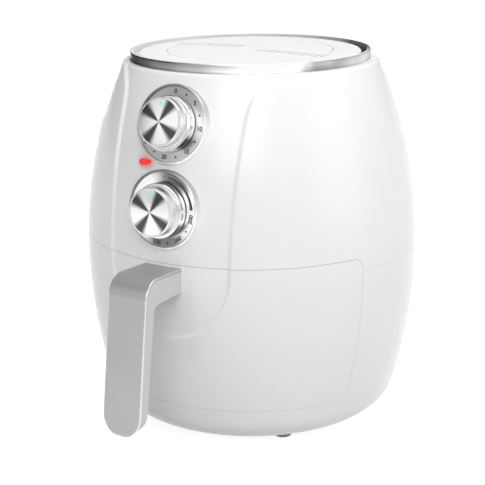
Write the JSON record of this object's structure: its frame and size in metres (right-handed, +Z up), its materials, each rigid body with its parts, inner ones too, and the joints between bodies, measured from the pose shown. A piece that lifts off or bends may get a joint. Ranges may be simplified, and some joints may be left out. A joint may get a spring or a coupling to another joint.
{
  "type": "hot-air fryer",
  "caption": "Barrel-shaped drawer fryer with turned timer and temperature controls, a pull-out pan with a crisper tray and a fan-driven heater in the upper housing.",
  "frame": {"origin": "on the floor, in the middle of the overall footprint with the handle included", "axes": "+X to the right seen from the front, -Y out of the front towards the user, +Z up"},
  "size_m": [0.273, 0.332, 0.2995],
  "materials": {
    "white_gloss": "gloss",
    "white_matt": "matt",
    "ring_steel": "brushed round the ring",
    "dial_metal": "satin, printed scale",
    "knob_chrome": "polished",
    "knob_face_metal": "spun",
    "pointer_mark": "gloss",
    "lens_red": "translucent, lit",
    "lamp_glass": "clear",
    "handle_satin": "satin",
    "bright_steel": "plain",
    "sheet_steel": "zinc-coated sheet",
    "chamber_sheet": "pressed sheet",
    "guard_chrome": "plated wire",
    "element_steel": "heat-darkened",
    "ceramic": "ceramic",
    "dark_plastic": "matt",
    "pale_plastic": "matt",
    "non_stick": "non-stick coating",
    "silicone": "matt",
    "foot_rubber": "matt"
  },
  "bodies": {
    "housing": {"upper_housing": "white_gloss", "lower_housing": "white_gloss", "top_cover": "white_gloss", "control_plate": "white_gloss", "rear_grille": "white_matt", "base_plate": "white_matt", "top_ring": "ring_steel", "timer_dial": "dial_metal", "temperature_dial": "dial_metal", "indicator_lens": "lens_red", "indicator_lamp": "lamp_glass", "base_screws": "bright_steel", "chamber_screws": "bright_steel", "thermostat": "bright_steel", "bay_liner": "sheet_steel", "motor_bracket": "sheet_steel", "fan_motor": "sheet_steel", "cooking_chamber": "chamber_sheet", "fan_guard": "guard_chrome", "heating_element": "element_steel", "element_insulators": "ceramic", "bay_floor": "dark_plastic", "timer_mechanism": "pale_plastic", "cord_gland": "silicone", "rear_right_foot": "foot_rubber", "rear_left_foot": "foot_rubber", "front_left_foot": "foot_rubber", "front_right_foot": "foot_rubber"},
    "drawer": {"drawer_front": "white_gloss", "drawer_frame": "dark_plastic", "pan": "non_stick", "handle_body": "white_matt", "handle_skin": "handle_satin", "handle_screws": "bright_steel"},
    "tray": {"crisper_tray": "non_stick", "tray_feet": "silicone"},
    "timer_control": {"timer_knob": "knob_chrome", "timer_knob_face": "knob_face_metal", "timer_pointer": "pointer_mark", "timer_shaft": "bright_steel"},
    "temperature_control": {"temperature_knob": "knob_chrome", "temperature_knob_face": "knob_face_metal", "temperature_pointer": "pointer_mark", "temperature_shaft": "bright_steel"},
    "fan_rotor": {"motor_shaft": "bright_steel", "fan_nut": "bright_steel", "convection_fan": "chamber_sheet", "cooling_fan": "dark_plastic"}
  },
  "joints": [
    {"name": "drawer_slide", "type": "slide", "parent": "housing", "child": "drawer", "axis": [0, -1, 0], "range_m": [0, 0.21]},
    {"name": "tray_lift", "type": "slide", "parent": "drawer", "child": "tray", "axis": [0, 0, 1], "range_m": [0, 0.08]},
    {"name": "timer_knob_turn", "type": "hinge", "parent": "housing", "child": "timer_control", "pos_m": [0, -0.0859, 0.2565], "axis": [0, 0.9613, -0.2756], "range_deg": [0, 281]},
    {"name": "temperature_knob_turn", "type": "hinge", "parent": "housing", "child": "temperature_control", "pos_m": [0, -0.10075, 0.195], "axis": [0, 0.9936, -0.1132], "range_deg": [0, 235]},
    {"name": "fan_spin", "type": "hinge", "parent": "housing", "child": "fan_rotor", "pos_m": [0, 0.0295, 0.25], "axis": [0, 0, 1], "continuous": true}
  ]
}
